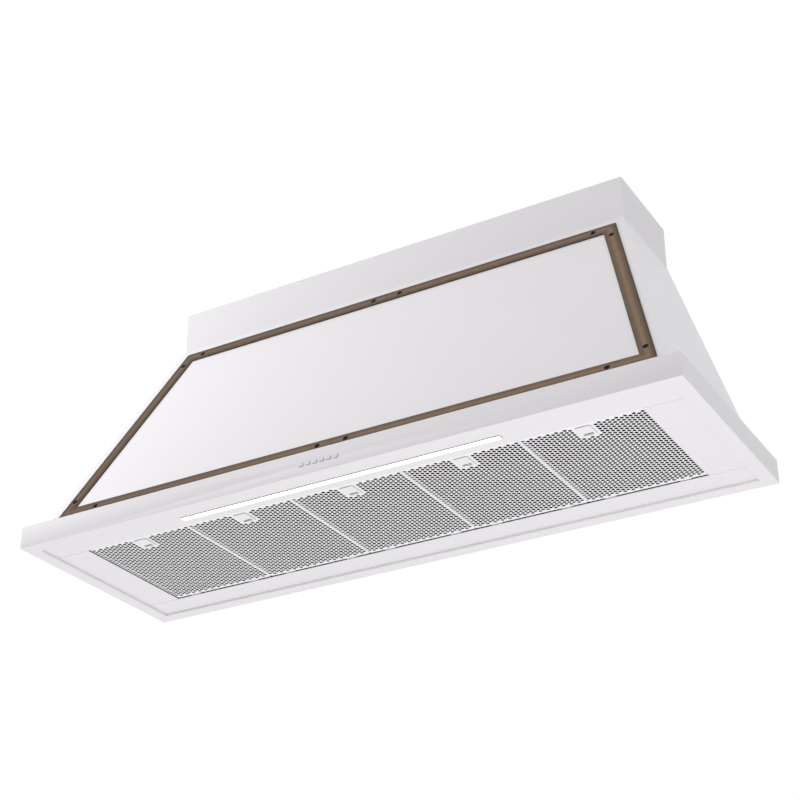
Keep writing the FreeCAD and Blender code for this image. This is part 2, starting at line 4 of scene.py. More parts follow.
import bmesh
import bpy
from mathutils import Matrix, Vector
from mathutils.geometry import delaunay_2d_cdt


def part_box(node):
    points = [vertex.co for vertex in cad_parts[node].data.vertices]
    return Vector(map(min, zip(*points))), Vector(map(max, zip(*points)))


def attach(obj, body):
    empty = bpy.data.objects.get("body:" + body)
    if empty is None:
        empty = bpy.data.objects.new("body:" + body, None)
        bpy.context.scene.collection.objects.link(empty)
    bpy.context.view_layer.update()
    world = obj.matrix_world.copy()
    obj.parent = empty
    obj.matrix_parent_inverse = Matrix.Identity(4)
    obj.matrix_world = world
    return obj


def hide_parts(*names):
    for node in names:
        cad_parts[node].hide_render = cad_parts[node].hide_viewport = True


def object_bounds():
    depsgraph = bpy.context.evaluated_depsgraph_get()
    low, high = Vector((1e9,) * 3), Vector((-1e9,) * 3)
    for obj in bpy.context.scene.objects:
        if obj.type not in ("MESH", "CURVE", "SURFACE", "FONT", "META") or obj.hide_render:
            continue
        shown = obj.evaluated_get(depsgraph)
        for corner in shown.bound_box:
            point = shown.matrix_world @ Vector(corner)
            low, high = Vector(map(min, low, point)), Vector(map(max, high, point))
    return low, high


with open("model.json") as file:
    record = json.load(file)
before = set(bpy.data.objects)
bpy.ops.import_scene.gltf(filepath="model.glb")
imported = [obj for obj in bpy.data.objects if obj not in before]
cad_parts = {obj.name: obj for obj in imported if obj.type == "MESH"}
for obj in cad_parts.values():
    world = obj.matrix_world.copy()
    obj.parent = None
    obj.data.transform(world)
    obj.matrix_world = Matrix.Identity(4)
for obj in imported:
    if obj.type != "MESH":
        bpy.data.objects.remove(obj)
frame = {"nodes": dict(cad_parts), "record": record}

cadLow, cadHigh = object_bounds()
mm = 0.001
print("frame loaded")

# shared by several finishes: the clouds' detail, and how much a face must turn to count
cloudDetail = 4.0
faceTurn = (0.3, 0.7)
topTurn = (0.1, 0.5)


def hexToLinear(code):
    channels = [int(code[i:i + 2], 16) / 255 for i in (0, 2, 4)]
    return tuple(c / 12.92 if c <= 0.04045 else ((c + 0.055) / 1.055) ** 2.4
                 for c in channels) + (1.0,)


def addNode(tree, kind, settings=None, links=None):
    node = tree.nodes.new(kind)
    for key, value in (settings or {}).items():
        if isinstance(key, str) and hasattr(node, key):
            setattr(node, key, value)
        else:
            node.inputs[key].default_value = value
    for key, source in (links or {}).items():
        tree.links.new(source, node.inputs[key])
    return node


def startFinish(name, look):
    finish = bpy.data.materials.new(name)
    finish.use_nodes = True
    tree = finish.node_tree
    shader = tree.nodes["Principled BSDF"]
    shader.inputs["Base Color"].default_value = hexToLinear(look["colour"])
    shader.inputs["Roughness"].default_value = look["roughness"]
    shader.inputs["Metallic"].default_value = look.get("metallic", 0.0)
    return finish, tree, shader


def feedShader(tree, shader, sources):
    for socket, source in sources.items():
        tree.links.new(source, shader.inputs[socket])


# a skin of one stuff: tone and sheen drift over cloudMm, a fine relief repeats every grainMm;
# with a wall colour, walls that don't face along faceAxis take that tone: painted shade on the
# sides
def plainSkin(name, look):
    finish, tree, shader = startFinish(name, look)
    rough, drift = look["roughness"], look["drift"]
    coords = addNode(tree, "ShaderNodeTexCoord")
    drawn = addNode(tree, "ShaderNodeMapping", {"Scale": look.get("draw", (1, 1, 1))},
                    {"Vector": coords.outputs["Object"]}).outputs["Vector"]
    cloud = addNode(tree, "ShaderNodeTexNoise", {"Scale": 1 / (look["cloudMm"] * mm),
                                                 "Detail": cloudDetail}, {"Vector": drawn})
    grain = addNode(tree, "ShaderNodeTexNoise", {"Scale": 1 / (look["grainMm"] * mm)},
                    {"Vector": drawn})
    tone = addNode(tree, "ShaderNodeMix", {"data_type": "RGBA", 6: hexToLinear(look["colour"]),
                                           7: hexToLinear(look["shade"])},
                   {0: cloud.outputs[0]})
    sheen = addNode(tree, "ShaderNodeMapRange", {"To Min": rough - drift, "To Max": rough + drift},
                    {"Value": cloud.outputs[0]})
    relief = addNode(tree, "ShaderNodeBump", {"Distance": look["reliefMm"] * mm},
                     {"Height": grain.outputs[0]})
    # walls that turn away from faceAxis take a darker tone: painted shade on the side walls
    if "paintedWallShade" in look:
        facing = addNode(tree, "ShaderNodeSeparateXYZ", {}, {0: coords.outputs["Normal"]})
        size = addNode(tree, "ShaderNodeMath", {"operation": "ABSOLUTE"},
                       {0: facing.outputs[look["faceAxis"]]})
        isFace = addNode(tree, "ShaderNodeMapRange",
                         {"From Min": faceTurn[0], "From Max": faceTurn[1]},
                         {"Value": size.outputs[0]})
        tone = addNode(tree, "ShaderNodeMix", {"data_type": "RGBA",
                                               6: hexToLinear(look["paintedWallShade"])},
                       {0: isFace.outputs[0], 7: tone.outputs[2]})
    feedShader(tree, shader, {"Base Color": tone.outputs[2], "Roughness": sheen.outputs[0],
                              "Normal": relief.outputs[0]})
    return finish


# bronze brushed lengthwise and left to darken: fine streaks under a cloudy brown patina, with a
# painted highlight along the crown and painted shade at the edges and side walls
def brushedBronze(name, look):
    finish, tree, shader = startFinish(name, look)
    rough, drift = look["roughness"], look["drift"]
    coords = addNode(tree, "ShaderNodeTexCoord").outputs["UV"]
    drawn = addNode(tree, "ShaderNodeMapping", {"Scale": (look["streakDraw"], 1, 1)},
                    {"Vector": coords})
    streak = addNode(tree, "ShaderNodeTexNoise", {"Scale": 1 / (look["streakMm"] * mm),
                                                  "Detail": look["streakDetail"]},
                     {"Vector": drawn.outputs[0]})
    patina = addNode(tree, "ShaderNodeTexNoise", {"Scale": 1 / (look["patinaMm"] * mm),
                                                  "Detail": cloudDetail}, {"Vector": coords})
    across = addNode(tree, "ShaderNodeSeparateXYZ", {}, {0: coords}).outputs["Y"]
    share = addNode(tree, "ShaderNodeMapRange", {"From Max": look["widthMm"] * mm}, {0: across})
    # across the strip: a painted highlight along the crown and painted shade towards the edges
    paintedCrownLight = addNode(tree, "ShaderNodeValToRGB", {}, {0: share.outputs[0]})
    ramp = paintedCrownLight.color_ramp
    ramp.interpolation = "EASE"
    ramp.elements[-1].color = hexToLinear(look["crownLightAndEdgeShade"][-1][1])
    ramp.elements[0].color = hexToLinear(look["crownLightAndEdgeShade"][0][1])
    for at, colour in look["crownLightAndEdgeShade"][1:-1]:
        ramp.elements.new(at).color = hexToLinear(colour)
    streaks = addNode(tree, "ShaderNodeMix", {"data_type": "RGBA", 7: (1, 1, 1, 1),
                                              6: hexToLinear(look["streakShade"])},
                      {0: streak.outputs[0]})
    clouds = addNode(tree, "ShaderNodeMix", {"data_type": "RGBA", 7: (1, 1, 1, 1),
                                             6: hexToLinear(look["patinaShade"])},
                     {0: patina.outputs[0]})
    brushed = addNode(tree, "ShaderNodeMix", {"data_type": "RGBA", "blend_type": "MULTIPLY",
                                              0: 1.0},
                      {6: paintedCrownLight.outputs["Color"], 7: streaks.outputs[2]})
    aged = addNode(tree, "ShaderNodeMix", {"data_type": "RGBA", "blend_type": "MULTIPLY", 0: 1.0},
                   {6: brushed.outputs[2], 7: clouds.outputs[2]})
    sheen = addNode(tree, "ShaderNodeMapRange", {"To Min": rough - drift, "To Max": rough + drift},
                    {"Value": streak.outputs[0]})
    relief = addNode(tree, "ShaderNodeBump", {"Distance": look["reliefMm"] * mm},
                     {"Height": streak.outputs[0]})
    feedShader(tree, shader, {"Base Color": aged.outputs[2], "Roughness": sheen.outputs[0],
                              "Normal": relief.outputs[0]})
    return finish


# zinc dipped steel: flat crystals of slightly different greys, a few millimetres across
def galvanisedZinc(name, look):
    finish, tree, shader = startFinish(name, look)
    rough, drift = look["roughness"], look["drift"]
    coords = addNode(tree, "ShaderNodeTexCoord").outputs["Object"]
    crystals = addNode(tree, "ShaderNodeTexVoronoi", {"Scale": 1 / (look["spangleMm"] * mm)},
                       {"Vector": coords})
    chance = addNode(tree, "ShaderNodeSeparateColor", {}, {"Color": crystals.outputs["Color"]})
    ripple = addNode(tree, "ShaderNodeTexNoise", {"Scale": 2 / (look["spangleMm"] * mm)},
                     {"Vector": coords})
    tone = addNode(tree, "ShaderNodeMix", {"data_type": "RGBA", 6: hexToLinear(look["shade"]),
                                           7: hexToLinear(look["colour"])},
                   {0: chance.outputs[0]})
    sheen = addNode(tree, "ShaderNodeMapRange", {"To Min": rough - drift, "To Max": rough + drift},
                    {"Value": chance.outputs[1]})
    relief = addNode(tree, "ShaderNodeBump", {"Distance": look["reliefMm"] * mm},
                     {"Height": ripple.outputs[0]})
    feedShader(tree, shader, {"Base Color": tone.outputs[2], "Roughness": sheen.outputs[0],
                              "Normal": relief.outputs[0]})
    return finish


# expanded aluminium mesh in layers: dull diamonds of wire with painted shade in the gaps between,
# and painted shade that darkens the wire near the middle, where it hangs over the blower and no
# light comes back from the sides; its upper side is painted lighter, a painted light from above
def expandedMesh(name, look):
    finish, tree, shader = startFinish(name, look)
    coords = addNode(tree, "ShaderNodeTexCoord")
    diamonds = addNode(tree, "ShaderNodeMapping",
                       {"Rotation": (0, 0, math.radians(look["turn"])),
                        "Scale": (1, look["stretch"], 1)},
                       {"Vector": coords.outputs["Object"]})
    cells = addNode(tree, "ShaderNodeTexVoronoi", {"feature": "DISTANCE_TO_EDGE",
                                                   "Scale": 1 / (look["cellMm"] * mm),
                                                   "Randomness": look["disorder"]},
                    {"Vector": diamonds.outputs["Vector"]})
    gap = addNode(tree, "ShaderNodeMapRange", {"From Max": look["wire"]},
                  {"Value": cells.outputs["Distance"]})
    sideways = addNode(tree, "ShaderNodeSeparateXYZ", {},
                       {0: coords.outputs["Object"]}).outputs["X"]
    fromMiddle = addNode(tree, "ShaderNodeMath", {"operation": "ABSOLUTE"}, {0: sideways})
    share = addNode(tree, "ShaderNodeMapRange", {"From Min": look["middleMm"] * mm,
                                                 "From Max": look["endMm"] * mm},
                    {"Value": fromMiddle.outputs[0]})
    # the wire darkens towards the middle: painted shade
    wire = addNode(tree, "ShaderNodeMix", {"data_type": "RGBA",
                                           6: hexToLinear(look["paintedMiddleShade"]),
                                           7: hexToLinear(look["colour"])},
                   {0: share.outputs[0]})
    # the upper side is painted lighter: painted light from above
    facing = addNode(tree, "ShaderNodeSeparateXYZ", {}, {0: coords.outputs["Normal"]})
    isTop = addNode(tree, "ShaderNodeMapRange", {"From Min": topTurn[0], "From Max": topTurn[1]},
                    {"Value": facing.outputs["Z"]})
    wire = addNode(tree, "ShaderNodeMix", {"data_type": "RGBA", 7: hexToLinear(look["paintedTopLight"])},
                   {0: isTop.outputs[0], 6: wire.outputs[2]})
    # the gaps are painted near black: painted shade between the wires
    tone = addNode(tree, "ShaderNodeMix", {"data_type": "RGBA", 7: hexToLinear(look["paintedGapShade"])},
                   {0: gap.outputs[0], 6: wire.outputs[2]})
    relief = addNode(tree, "ShaderNodeBump", {"Distance": -look["reliefMm"] * mm},
                     {"Height": gap.outputs[0]})
    feedShader(tree, shader, {"Base Color": tone.outputs[2], "Normal": relief.outputs[0]})
    return finish


# opal acrylic lit from behind: an even white glow with a frosted skin
def opalAcrylic(name, look):
    finish, tree, shader = startFinish(name, look)
    shader.inputs["IOR"].default_value = look["ior"]
    shader.inputs["Emission Color"].default_value = hexToLinear(look["glowColour"])
    shader.inputs["Emission Strength"].default_value = look["glow"]
    coords = addNode(tree, "ShaderNodeTexCoord").outputs["Object"]
    frost = addNode(tree, "ShaderNodeTexNoise", {"Scale": 1 / (look["frostMm"] * mm)},
                    {"Vector": coords})
    relief = addNode(tree, "ShaderNodeBump", {"Distance": look["reliefMm"] * mm},
                     {"Height": frost.outputs[0]})
    feedShader(tree, shader, {"Normal": relief.outputs[0]})
    return finish


whiteLook = {"colour": "E7E4E8", "shade": "E6E3E7", "roughness": 0.42, "drift": 0.05,
             "cloudMm": 60, "grainMm": 2.2, "reliefMm": 0.006}
filterLook = {"colour": "F3F1F4", "shade": "EFEDF1", "roughness": 0.38, "drift": 0.05,
              "cloudMm": 30, "grainMm": 1.2, "reliefMm": 0.006}

finishes = {
    # a close, even satin white with the faintest orange peel, so big faces read as one sheet
    "white_enamel": plainSkin("bakedEnamel", whiteLook),
    # a colder, slightly glossier white than the body's, on the thin sheet of the filters
    "filter_white": plainSkin("powderCoatWhite", filterLook),
    # the body's white with painted grey shade on its side walls, so the latch plates stand off the
    # filter
    "latch_white": plainSkin("powderCoatLatch", {
        **filterLook, "colour": "EAE8EB", "shade": "E8E6E9", "paintedWallShade": "77757A",
        "faceAxis": "Z"}),
    # a hard smooth lacquer round the light, its sides painted a grey shade, a thin line against the
    # panel
    "light_housing_white": plainSkin("lacquerOnAluminium", {
        **whiteLook, "grainMm": 0.8, "paintedWallShade": "B4B2B7", "faceAxis": "Z"}),
    # warm brown brushed metal with a painted highlight along the crown and painted shade at the
    # edges: the one strong colour on the hood
    "bronze": brushedBronze("brushedBronze", {
        "colour": "8A7667", "roughness": 0.48, "drift": 0.06, "metallic": 1.0,
        # across the strip, from edge to edge: painted shade at the edges, a painted highlight near
        # the middle
        "crownLightAndEdgeShade": [(0.0, "332B24"), (0.03, "605145"), (0.13, "756556"), (0.25, "84725F"),
                    (0.4, "9A8571"), (0.53, "A48E79"), (0.62, "998370"), (0.75, "8A7664"),
                    (0.9, "817060"), (1.0, "6E6050")],
        "widthMm": 30.0, "streakMm": 0.9, "streakDraw": 0.03, "streakDetail": 3.0,
        "streakShade": "BAB2AB",
        "patinaMm": 22, "patinaShade": "D6CCC3", "reliefMm": 0.02}),
    # patchy grey crystals that tell bare zinc plate from paint
    "galvanised": galvanisedZinc("galvanisedZinc", {
        "colour": "C3C8CC", "shade": "9BA1A6", "roughness": 0.38, "drift": 0.11,
        "metallic": 1.0, "spangleMm": 9, "reliefMm": 0.02}),
    # near black with a brown cast: small dark dots against the bronze
    "dark_screw": plainSkin("blackOxideSteel", {
        "colour": "2A1D15", "shade": "1A110C", "roughness": 0.5, "drift": 0.06,
        "metallic": 1.0, "cloudMm": 2.0, "grainMm": 0.4, "reliefMm": 0.01}),
    # bright fine lines along the pins and shafts
    "steel_pin": plainSkin("groundSteel", {
        "colour": "B9BABB", "shade": "9A9B9D", "roughness": 0.28, "drift": 0.08,
        "metallic": 1.0, "draw": (1, 0.1, 0.1), "cloudMm": 4.0, "grainMm": 0.6,
        "reliefMm": 0.004}),
    # soft pale metal with rolling lines along the flaps
    "damper_aluminium": plainSkin("millAluminium", {
        "colour": "C9CCCE", "shade": "B2B5B8", "roughness": 0.36, "drift": 0.08,
        "metallic": 1.0, "draw": (0.04, 1, 1), "cloudMm": 6.0, "grainMm": 1.0,
        "reliefMm": 0.006}),
    # the dark tangle that shows through the filters' holes, darkened with painted shade in its gaps
    # and towards the middle
    "filter_mesh": expandedMesh("expandedAluminium", {
        "colour": "646266", "paintedGapShade": "0A090A", "roughness": 0.55, "metallic": 1.0,
        "paintedMiddleShade": "141315", "paintedTopLight": "B4B5B8", "middleMm": 150, "endMm": 620,
        "turn": 45, "cellMm": 3.2, "stretch": 0.55, "disorder": 0.35, "wire": 0.22,
        "reliefMm": 0.5}),
    # the brightest thing on the hood: a flat, even strip of light
    "diffuser": opalAcrylic("opalAcrylic", {
        "colour": "F7F7F5", "roughness": 0.5, "ior": 1.49, "glowColour": "FFFEFC", "glow": 1.6,
        "frostMm": 0.5, "reliefMm": 0.01}),
    # a cream white gloss over the circuit board
    "board_white": plainSkin("whiteSolderMask", {
        "colour": "EFEEE6", "shade": "E6E4D8", "roughness": 0.35, "drift": 0.05,
        "cloudMm": 6.0, "grainMm": 1.5, "reliefMm": 0.005}),
    # a dull cool white case with the mould's spark grain
    "driver_case": plainSkin("whitePolycarbonate", {
        "colour": "E4E3DF", "shade": "DBDAD5", "roughness": 0.5, "drift": 0.05,
        "cloudMm": 12.0, "grainMm": 0.6, "reliefMm": 0.02}),
    # the deep matt black of small electrical parts
    "black_plastic": plainSkin("blackNylon", {
        "colour": "1F1F21", "shade": "2A2A2C", "roughness": 0.52, "drift": 0.05,
        "cloudMm": 8.0, "grainMm": 0.7, "reliefMm": 0.02}),
    # a plain mid grey, softer than the metal round it
    "grey_plastic": plainSkin("greyPolypropylene", {
        "colour": "A9ABAD", "shade": "9FA1A4", "roughness": 0.5, "drift": 0.05,
        "cloudMm": 12.0, "grainMm": 0.7, "reliefMm": 0.02}),
    # charcoal with a glassy fibre grain on the blades
    "impeller_plastic": plainSkin("glassFilledNylon", {
        "colour": "2B2C2F", "shade": "38393C", "roughness": 0.46, "drift": 0.06,
        "cloudMm": 10.0, "grainMm": 1.1, "reliefMm": 0.02}),
    # a satin cap nearly the fascia's own white, its skirt painted a grey shade that draws a small
    # dark crescent
    "button_white": plainSkin("satinWhiteAbs", {
        "colour": "E5E3E6", "shade": "E3E1E5", "paintedWallShade": "8A888C", "faceAxis": "Y",
        "roughness": 0.36, "drift": 0.05, "cloudMm": 5.0, "grainMm": 0.5, "reliefMm": 0.004}),
    # a hard black coat with a little peel over the motor's can
    "motor_paint": plainSkin("blackStovedPaint", {
        "colour": "26272A", "shade": "1F2022", "roughness": 0.45, "drift": 0.05,
        "cloudMm": 15, "grainMm": 1.0, "reliefMm": 0.02}),
}
print("finishes made:", len(finishes))

slotOf = {row["node"]: row["material_slot"] for row in frame["record"]["subparts"]}
bodyOf = {node: body for body, members in frame["record"]["behaviour"]["bodies"].items()
          for node in members}


# millimetres and degrees: how meshes are joined, shaded and softened
making = {"weld": 0.005, "cadWeld": 0.01, "sharp": 35, "softCad": 40, "flat": 0.5, "segments": 2}


def putInScene(name, bm):
    mesh = bpy.data.meshes.new(name)
    bm.to_mesh(mesh)
    bm.free()
    piece = bpy.data.objects.new(name, mesh)
    bpy.context.scene.collection.objects.link(piece)
    return piece


def softenEdges(piece, width, degrees):
    edge = piece.modifiers.new("softEdges", "BEVEL")
    edge.width = width * mm
    edge.segments = making["segments"]
    edge.harden_normals = True
    edge.limit_method = "ANGLE"
    edge.angle_limit = math.radians(degrees)


def standIn(name, bm, nodes, soften=0.0):
    # turns a built mesh into a piece that stands for its CAD nodes
    bmesh.ops.remove_doubles(bm, verts=bm.verts, dist=making["weld"] * mm)
    bmesh.ops.recalc_face_normals(bm, faces=bm.faces)
    dressPiece(putInScene(name, bm), nodes, soften)


def dressPiece(piece, nodes, soften=0.0):
    slotName = slotOf[nodes[0]]
    piece.data.materials.append(finishes[slotName])
    if soften:
        softenEdges(piece, soften, making["sharp"])
    piece.data.set_sharp_from_angle(angle=math.radians(making["sharp"]))
    for face in piece.data.polygons:
        face.use_smooth = True
    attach(piece, bodyOf[nodes[0]])
    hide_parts(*nodes)


def sweep(bm, rows, uvs=None):
    # skins between closed rows of points
    layer = bm.loops.layers.uv.verify() if uvs else None
    verts = [[bm.verts.new(p) for p in row] for row in rows]
    count = len(rows[0])
    for i in range(len(rows) - 1):
        for j in range(count):
            k = (j + 1) % count
            face = bm.faces.new((verts[i][j], verts[i][k], verts[i + 1][k], verts[i + 1][j]))
            if uvs:
                marks = (uvs[i][j], uvs[i][j + 1], uvs[i + 1][j + 1], uvs[i + 1][j])
                for loop, mark in zip(face.loops, marks):
                    loop[layer].uv = mark
    return verts


def lathe(bm, profile, middle, axis, steps=32, shape=None):
    # turns (radius, height) points about an axis; shape may vary a radius with the angle
    axis = Vector(axis).normalized()
    across = axis.orthogonal().normalized()
    other = axis.cross(across)
    rows = []
    for r, h in profile:
        row = []
        for i in range(steps):
            angle = 2 * math.pi * i / steps
            reach = shape(r, h, angle) if shape else r
            out = across * math.cos(angle) + other * math.sin(angle)
            row.append(middle + axis * h * mm + out * reach * mm)
        rows.append(row)
    verts = sweep(bm, rows)
    for end in (verts[0], verts[-1]):
        bmesh.ops.contextual_create(bm, geom=end)


def block(bm, low, high):
    box = bmesh.ops.create_cube(bm, size=1.0)["verts"]
    middle = (Vector(low) + Vector(high)) / 2
    size = Vector(high) - Vector(low)
    bmesh.ops.scale(bm, verts=box, vec=size)
    bmesh.ops.translate(bm, verts=box, vec=middle)


def roundedRectangle(middle, half, radius, steps=4):
    # points anticlockwise round a rectangle, in metres
    points = []
    corners = ((1, 1, 0), (-1, 1, 90), (-1, -1, 180), (1, -1, 270))
    for signX, signY, start in corners:
        x = middle[0] + signX * (half[0] - radius)
        y = middle[1] + signY * (half[1] - radius)
        for i in range(steps + 1):
            angle = math.radians(start + 90 * i / steps)
            points.append((x + radius * math.cos(angle), y + radius * math.sin(angle)))
    return points


nearEnough = 1e-7     # metres: closer points of an outline are one


def punchedSheet(bm, outline, holes, low, high, outerWall=True):
    # a flat sheet between two heights with holes punched through it
    points = [Vector(p) for p in outline]
    loops = [list(range(len(outline)))]
    for hole in holes:
        loops.append(list(range(len(points), len(points) + len(hole))))
        points += [Vector(p) for p in hole]
    edges = [(loop[i], loop[(i + 1) % len(loop)]) for loop in loops for i in range(len(loop))]
    owner = {v: n for n, loop in enumerate(loops) for v in loop}
    made = delaunay_2d_cdt(points, edges, [], 1, nearEnough)
    below = [bm.verts.new((p.x, p.y, low)) for p in made[0]]
    above = [bm.verts.new((p.x, p.y, high)) for p in made[0]]
    source = [ids[0] for ids in made[3]]
    for triangle in made[2]:
        homes = {owner[source[v]] for v in triangle}
        if len(homes) == 1 and homes != {0}:
            continue
        bm.faces.new([below[v] for v in reversed(triangle)])
        bm.faces.new([above[v] for v in triangle])
    place = {s: v for v, s in enumerate(source)}
    for n, loop in enumerate(loops):
        if n == 0 and not outerWall:
            continue
        for i, v in enumerate(loop):
            a, b = place[v], place[loop[(i + 1) % len(loop)]]
            bm.faces.new((below[a], below[b], above[b], above[a]))


# the slope that the trim lies on

panelLow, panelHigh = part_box("front_panel")
casingLow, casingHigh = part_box("top_front_casing")
slopeRise = casingLow.z - panelLow.z
slopeRun = casingLow.y - panelLow.y
slopeLength = math.hypot(slopeRise, slopeRun)
slopeUp = Vector((0, slopeRun / slopeLength, slopeRise / slopeLength))
slopeOut = Vector((0, -slopeUp.z, slopeUp.y))
panelHalf, casingHalf = panelHigh.x, casingHigh.x


def onSlope(x, s, n=0.0):
    return Vector((x, panelLow.y, panelLow.z)) + slopeUp * s + slopeOut * n


def slopeEdge(s, inset):
    lean = (panelHalf - casingHalf) / slopeLength
    return panelHalf - lean * s - inset * math.hypot(1, lean)


# millimetres: the bronze frame and its screws
trim = {"margin": 20.0, "width": 30.0, "thick": 3.0, "crown": 0.55, "edge": 0.5, "joint": 0.4,
        "seatRadius": 5.7, "seatDepth": 1.7, "seatFlare": 0.4, "seatCut": 3.0, "steps": 16,
        "wallShadeMark": 0.3, "soften": 0.25}
screw = {"radius": 5.0, "height": 1.3, "socket": 2.1, "socketDepth": 0.9, "chamfer": 0.35,
         "middleX": 33.0, "bottomInset": 81.0, "topInset": 37.0, "sideLow": 34.0, "sideHigh": 29.0,
         "socketEnd": 0.5, "socketTip": 0.2, "shankRadius": 2.2, "shankFrom": -9.0,
         "shankTo": 0.05, "nutRadius": 4.5, "nutFrom": -7.2, "nutTo": -4.4}


def screwPlaces():
    middle = (trim["margin"] + trim["width"] / 2) * mm
    low, high = middle, slopeLength - middle
    places = []
    for side in (-1, 1):
        for s, inset in ((low, screw["bottomInset"]), (high, screw["topInset"])):
            places.append((side * screw["middleX"] * mm, s))
            places.append((side * (slopeEdge(s, middle) - inset * mm), s))
        for s in (low + screw["sideLow"] * mm, high - screw["sideHigh"] * mm):
            places.append((side * slopeEdge(s, middle), s))
    return places


def trimSection():
    # (distance across the strip, height) round its outside, crowned in the middle
    edge, wide, top = trim["edge"], trim["width"], trim["thick"] - trim["crown"]
    points = [(0, 0), (0, top - edge)]
    for i in range(trim["steps"] + 1):
        across = edge + (wide - 2 * edge) * i / trim["steps"]
        swell = 1 - (2 * across / wide - 1) ** 2
        points.append((across, top + trim["crown"] * swell))
    return points + [(wide, top - edge), (wide, 0)]


def trimStrip(name, cornerA, cornerB, cutters):
    # cornerA and cornerB give each end's x and s for a distance in from the panel's edge
    section = trimSection()
    rows = [[onSlope(*corner((trim["margin"] + a) * mm), h * mm) for a, h in section]
            for corner in (cornerA, cornerB)]
    direction = (rows[1][0] - rows[0][0]).normalized()
    base = [min(max(a, 0.0), trim["width"]) * mm for a, h in section]
    # the walls map below the start of the ramp, so they take its darkest stop: painted shade on the
    # side walls
    base[0] = -trim["wallShadeMark"] * mm      # walls share the edge's tone
    base[-1] = (trim["width"] + trim["wallShadeMark"]) * mm
    marks = [[((point - rows[0][0]).dot(direction), across)
              for point, across in zip(row + row[:1], base + base[:1])] for row in rows]
    bm = bmesh.new()
    verts = sweep(bm, rows, marks)
    for end in verts:
        bm.faces.new(end)
    bmesh.ops.recalc_face_normals(bm, faces=bm.faces)
    piece = putInScene(name + "_strip", bm)
    drill = piece.modifiers.new("seats", "BOOLEAN")
    drill.object = cutters
    drill.solver = "EXACT"
    bpy.context.view_layer.update()
    ready = piece.evaluated_get(bpy.context.evaluated_depsgraph_get())
    piece.data = bpy.data.meshes.new_from_object(ready)
    piece.modifiers.clear()
    dressPiece(piece, [name], trim["soften"])


def makeTrim():
    bm = bmesh.new()
    base = trim["thick"] - trim["seatDepth"]
    for x, s in screwPlaces():
        lathe(bm, [(trim["seatRadius"], 0), (trim["seatRadius"] + trim["seatFlare"],
                                             trim["seatCut"])],
              onSlope(x, s, base * mm), slopeOut)
    bmesh.ops.recalc_face_normals(bm, faces=bm.faces)
    cutters = putInScene("seatCutters", bm)
    joint = trim["joint"] / 2 * mm
    for side, word in ((-1, "left"), (1, "right")):
        trimStrip("trim_" + word, lambda d: (side * slopeEdge(d, d), d),
                  lambda d: (side * slopeEdge(slopeLength - d, d), slopeLength - d), cutters)
        trimStrip("trim_bottom_" + word, lambda d: (side * joint, d),
                  lambda d: (side * slopeEdge(d, d), d), cutters)
        trimStrip("trim_top_" + word, lambda d: (side * joint, slopeLength - d),
                  lambda d: (side * slopeEdge(slopeLength - d, d), slopeLength - d), cutters)
    bpy.data.objects.remove(cutters)


def makeScrews():
    def hexSocket(r, h, angle):
        inSocket = r == screw["socket"]
        return r / math.cos((angle + math.pi / 6) % (math.pi / 3) - math.pi / 6) if inSocket else r

    bm = bmesh.new()
    seat = trim["thick"] - trim["seatDepth"]
    top, wide, deep = screw["height"], screw["radius"], screw["socketDepth"]
    profile = [(wide, 0), (wide, top - screw["chamfer"]), (wide - screw["chamfer"], top),
               (screw["socket"], top), (screw["socket"], top - deep),
               (screw["socketEnd"], top - deep - screw["socketTip"])]
    shank = [(screw["shankRadius"], screw["shankFrom"]), (screw["shankRadius"], screw["shankTo"])]
    nut = [(screw["nutRadius"], screw["nutFrom"]), (screw["nutRadius"], screw["nutTo"])]
    for x, s in screwPlaces():
        middle = onSlope(x, s, seat * mm)
        lathe(bm, profile, middle, slopeOut, 36, hexSocket)
        lathe(bm, shank, middle, slopeOut, 16)
        lathe(bm, nut, middle, slopeOut, 6)
    standIn("trim_screws_set", bm, ["trim_screws"])


makeTrim()
makeScrews()
print("trim made")


# millimetres: one grease filter, its holes and its latch
grille = {"holeRadius": 4.05, "pitchX": 17.3, "pitchY": 9.7, "columns": 14, "rows": 31,
          "firstRow": 12.6, "holeSides": 14, "latchColumns": 2, "latchRows": 5, "sheet": 0.6,
          "flange": 9.0, "bend": 1.5, "corner": 3.2, "rim": 2.0,
          "leastCorner": 0.2, "nip": 0.3, "tabReach": 6.0, "tabMiddle": 80.0, "tabHalf": 12.0,
          "tabBury": 0.5, "tabFrom": 0.3, "tabTo": 1.3}
latch = {"corner": 3.5, "slotSetback": 28.5, "slotLength": 7.0, "slotWidth": 20.0,
         "slotCorner": 1.5, "tongue": 14.0, "stem": 10.0, "stemSetback": 17.6, "stemLength": 6.0,
         "proud": 0.8, "length": 42.0, "tongueThick": 1.6, "slotInset": 1.4,
         "travel": 8.0, "clear": 0.4, "tongueLength": 26.0, "stemShort": 1.0,
         "plateSteps": 6, "slotSteps": 5, "soften": 0.25}


def grilleHoles(middleX, frontY):
    holes = []
    for k in range(-grille["columns"], grille["columns"] + 1):
        odd = k % 2
        for n in range(grille["rows"]):
            if abs(k) <= grille["latchColumns"] and n < grille["latchRows"]:
                continue
            x = middleX + k * grille["pitchX"] / 2 * mm
            y = frontY + (grille["firstRow"] + (n + odd / 2) * grille["pitchY"]) * mm
            holes.append([(x + grille["holeRadius"] * mm * math.cos(a),
                           y + grille["holeRadius"] * mm * math.sin(a))
                          for a in (2 * math.pi * (i + 0.5) / grille["holeSides"]
                                    for i in range(grille["holeSides"]))])
    return holes


